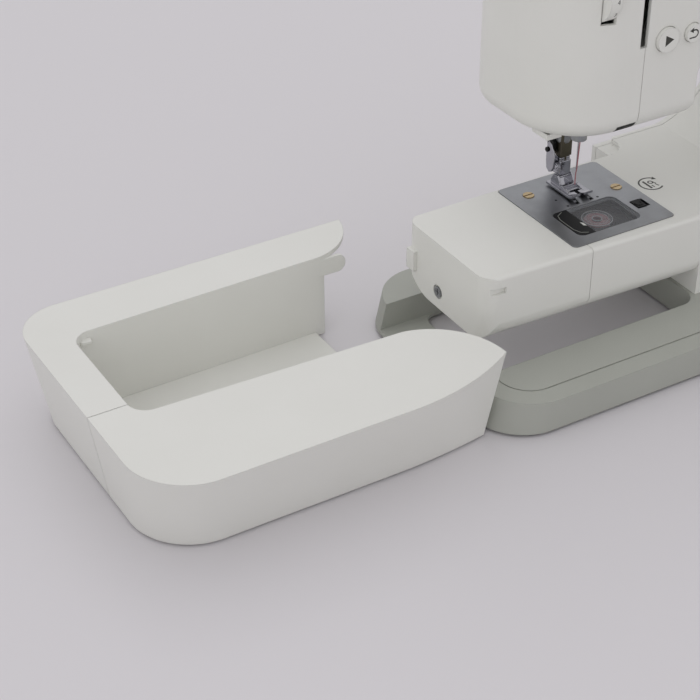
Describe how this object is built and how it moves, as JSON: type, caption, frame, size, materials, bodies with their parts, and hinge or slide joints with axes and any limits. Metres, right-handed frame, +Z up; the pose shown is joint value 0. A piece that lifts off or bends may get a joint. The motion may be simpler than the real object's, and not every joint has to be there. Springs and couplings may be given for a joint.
{
  "type": "sewing machine",
  "caption": "Domestic free-arm sewing machine on a flat base, with its flat-bed extension table and accessory box drawn off to the left.",
  "frame": {"origin": "middle of the bounding box of machine and table on the surface they stand on", "axes": "+X to the right along the free arm towards the handwheel, +Y to the back, +Z up"},
  "size_m": [0.6576, 0.2066, 0.308],
  "materials": {
    "white_plastic": "matt moulded plastic",
    "grey_plastic": "matt moulded plastic",
    "black_plastic": "satin moulded plastic",
    "clear_plastic": "clear polished plastic",
    "screen_plastic": "polished plastic",
    "steel": "satin ground steel",
    "chromed_steel": "polished chrome",
    "dark_steel": "black oxide",
    "brass": "bright brass",
    "cast_aluminium": "cast, unpainted",
    "rubber": "matt rubber",
    "thread": "wound thread"
  },
  "bodies": {
    "machine": {"base_frame": "grey_plastic", "base_feet": "rubber", "front_shell": "white_plastic", "rear_shell": "white_plastic", "face_cover": "white_plastic", "free_arm_cover": "white_plastic", "arm_end_screw": "steel", "inner_frame": "cast_aluminium", "bushes": "brass", "case_screws": "steel", "needle_plate": "steel", "plate_screws": "brass", "motor": "steel", "lamp_lens": "clear_plastic", "display_panel": "screen_plastic", "spool_pin": "grey_plastic", "power_inlet": "black_plastic", "timing_belt": "rubber", "drive_belt": "rubber", "bobbin_case": "grey_plastic"},
    "handwheel_set": {"handwheel": "white_plastic", "upper_shaft": "steel", "upper_pulleys": "grey_plastic", "crank": "steel"},
    "connecting_rod": {"connecting_rod": "steel"},
    "lower_shaft_set": {"lower_shaft": "steel", "lower_gear": "grey_plastic", "lower_pulley": "grey_plastic"},
    "hook_set": {"rotary_hook": "steel", "hook_gear": "steel"},
    "motor_rotor": {"motor_pulley": "grey_plastic"},
    "wound_bobbin": {"bobbin": "clear_plastic", "bobbin_thread": "thread"},
    "needle_bar_set": {"needle_bar": "steel", "needle_clamp": "steel", "clamp_screw": "chromed_steel", "needle": "chromed_steel"},
    "presser_set": {"presser_bar": "dark_steel", "foot_holder": "chromed_steel", "holder_screw": "chromed_steel"},
    "presser_foot": {"presser_foot": "chromed_steel"},
    "presser_lever": {"presser_lever": "white_plastic"},
    "threader_lever": {"threader_lever": "white_plastic"},
    "take_up_lever": {"take_up_lever": "steel"},
    "tension_dial": {"tension_dial": "white_plastic"},
    "release_button": {"release_button": "black_plastic"},
    "bobbin_cover": {"cover_window": "clear_plastic", "cover_latch": "black_plastic"},
    "feed_dog": {"feed_dog": "steel"},
    "top_lid": {"top_lid": "white_plastic"},
    "spool_cap": {"spool_cap": "white_plastic"},
    "winder_spindle": {"winder_spindle": "steel"},
    "start_button": {"start_button": "white_plastic"},
    "reverse_button": {"reverse_button": "white_plastic"},
    "speed_slider": {"speed_slider": "white_plastic"},
    "selector_dial": {"selector_dial": "white_plastic"},
    "power_switch": {"power_switch": "black_plastic"},
    "table": {"table_shell": "white_plastic", "table_tray": "white_plastic"},
    "accessory_door": {"accessory_door": "white_plastic"}
  },
  "joints": [
    {"name": "handwheel_turn", "type": "hinge", "parent": "machine", "child": "handwheel_set", "pos_m": [0.31325, 0.0189, 0.2335], "axis": [1, 0, 0], "continuous": true},
    {"name": "rod_turn", "type": "hinge", "parent": "handwheel_set", "child": "connecting_rod", "pos_m": [0.04175, 0.0189, 0.2485], "axis": [1, 0, 0], "continuous": true},
    {"name": "lower_shaft_turn", "type": "hinge", "parent": "machine", "child": "lower_shaft_set", "pos_m": [0.03325, 0.0093, 0.0505], "axis": [1, 0, 0], "continuous": true},
    {"name": "hook_turn", "type": "hinge", "parent": "machine", "child": "hook_set", "pos_m": [0.03425, -0.0061, 0.062], "axis": [0, 0, 1], "continuous": true},
    {"name": "motor_turn", "type": "hinge", "parent": "machine", "child": "motor_rotor", "pos_m": [0.27125, 0.0139, 0.076], "axis": [1, 0, 0], "continuous": true},
    {"name": "bobbin_spin", "type": "hinge", "parent": "machine", "child": "wound_bobbin", "pos_m": [0.03425, -0.0061, 0.077], "axis": [0, 0, 1], "continuous": true},
    {"name": "needle_bar_slide", "type": "slide", "parent": "machine", "child": "needle_bar_set", "axis": [0, 0, -1], "range_m": [0, 0.03]},
    {"name": "presser_lever_lift", "type": "hinge", "parent": "machine", "child": "presser_lever", "pos_m": [0.03425, 0.0519, 0.167], "axis": [1, 0, 0], "range_deg": [0, 60]},
    {"name": "presser_bar_lift", "type": "slide", "parent": "machine", "child": "presser_set", "axis": [0, 0, 1], "range_m": [0, 0.006]},
    {"name": "foot_tilt", "type": "hinge", "parent": "presser_set", "child": "presser_foot", "pos_m": [0.03425, 0.0304, 0.0917], "axis": [1, 0, 0], "range_deg": [-6, 1]},
    {"name": "threader_pull", "type": "slide", "parent": "machine", "child": "threader_lever", "axis": [0, 0, -1], "range_m": [0, 0.028], "stiffness_N_per_m": 60, "springref_m": -0.01},
    {"name": "take_up_swing", "type": "hinge", "parent": "machine", "child": "take_up_lever", "pos_m": [0.03805, -0.0021, 0.222], "axis": [1, 0, 0], "range_deg": [0, 50]},
    {"name": "tension_turn", "type": "hinge", "parent": "machine", "child": "tension_dial", "pos_m": [0.01325, -0.0161, 0.24], "axis": [1, 0, 0], "range_deg": [-140, 140]},
    {"name": "cover_release", "type": "slide", "parent": "machine", "child": "release_button", "axis": [1, 0, 0], "range_m": [0, 0.0025], "stiffness_N_per_m": 400, "springref_m": -0.0005},
    {"name": "bobbin_cover_lift", "type": "slide", "parent": "machine", "child": "bobbin_cover", "axis": [0, 0, 1], "range_m": [0, 0.03]},
    {"name": "feed_stroke", "type": "slide", "parent": "machine", "child": "feed_dog", "axis": [0, 1, 0], "range_m": [-0.0025, 0.0025]},
    {"name": "lid_open", "type": "hinge", "parent": "machine", "child": "top_lid", "pos_m": [0.05125, 0.0699, 0.266], "axis": [-1, 0, 0], "range_deg": [0, 80]},
    {"name": "spool_cap_slide", "type": "slide", "parent": "machine", "child": "spool_cap", "axis": [-1, 0, 0], "range_m": [0, 0.035]},
    {"name": "winder_shift", "type": "slide", "parent": "machine", "child": "winder_spindle", "axis": [-1, 0, 0], "range_m": [0, 0.006]},
    {"name": "start_button_press", "type": "slide", "parent": "machine", "child": "start_button", "axis": [0, 1, 0], "range_m": [0, 0.002], "stiffness_N_per_m": 300, "springref_m": -0.0005},
    {"name": "reverse_button_press", "type": "slide", "parent": "machine", "child": "reverse_button", "axis": [0, 1, 0], "range_m": [0, 0.002], "stiffness_N_per_m": 300, "springref_m": -0.0005},
    {"name": "speed_slide", "type": "slide", "parent": "machine", "child": "speed_slider", "axis": [1, 0, 0], "range_m": [-0.016, 0.016]},
    {"name": "selector_turn", "type": "hinge", "parent": "machine", "child": "selector_dial", "pos_m": [0.24625, -0.0281, 0.138], "axis": [0, 1, 0], "continuous": true},
    {"name": "switch_rock", "type": "hinge", "parent": "machine", "child": "power_switch", "pos_m": [0.304, 0.0259, 0.06], "axis": [0, 1, 0], "range_deg": [-8, 8]},
    {"name": "table_slide", "type": "slide", "parent": "machine", "child": "table", "axis": [-1, 0, 0], "range_m": [0, 0.12]},
    {"name": "door_open", "type": "hinge", "parent": "table", "child": "accessory_door", "pos_m": [-0.26675, -0.0801, 0.0075], "axis": [1, 0, 0], "range_deg": [0, 60]}
  ],
  "couplings": [
    {"joint": "rod_turn", "follows": "handwheel_turn", "ratio": -1},
    {"joint": "lower_shaft_turn", "follows": "handwheel_turn", "ratio": 1},
    {"joint": "hook_turn", "follows": "handwheel_turn", "ratio": 2},
    {"joint": "motor_turn", "follows": "handwheel_turn", "ratio": 5},
    {"joint": "presser_lever_lift", "follows": "presser_bar_lift", "rad_per_m": 170}
  ]
}
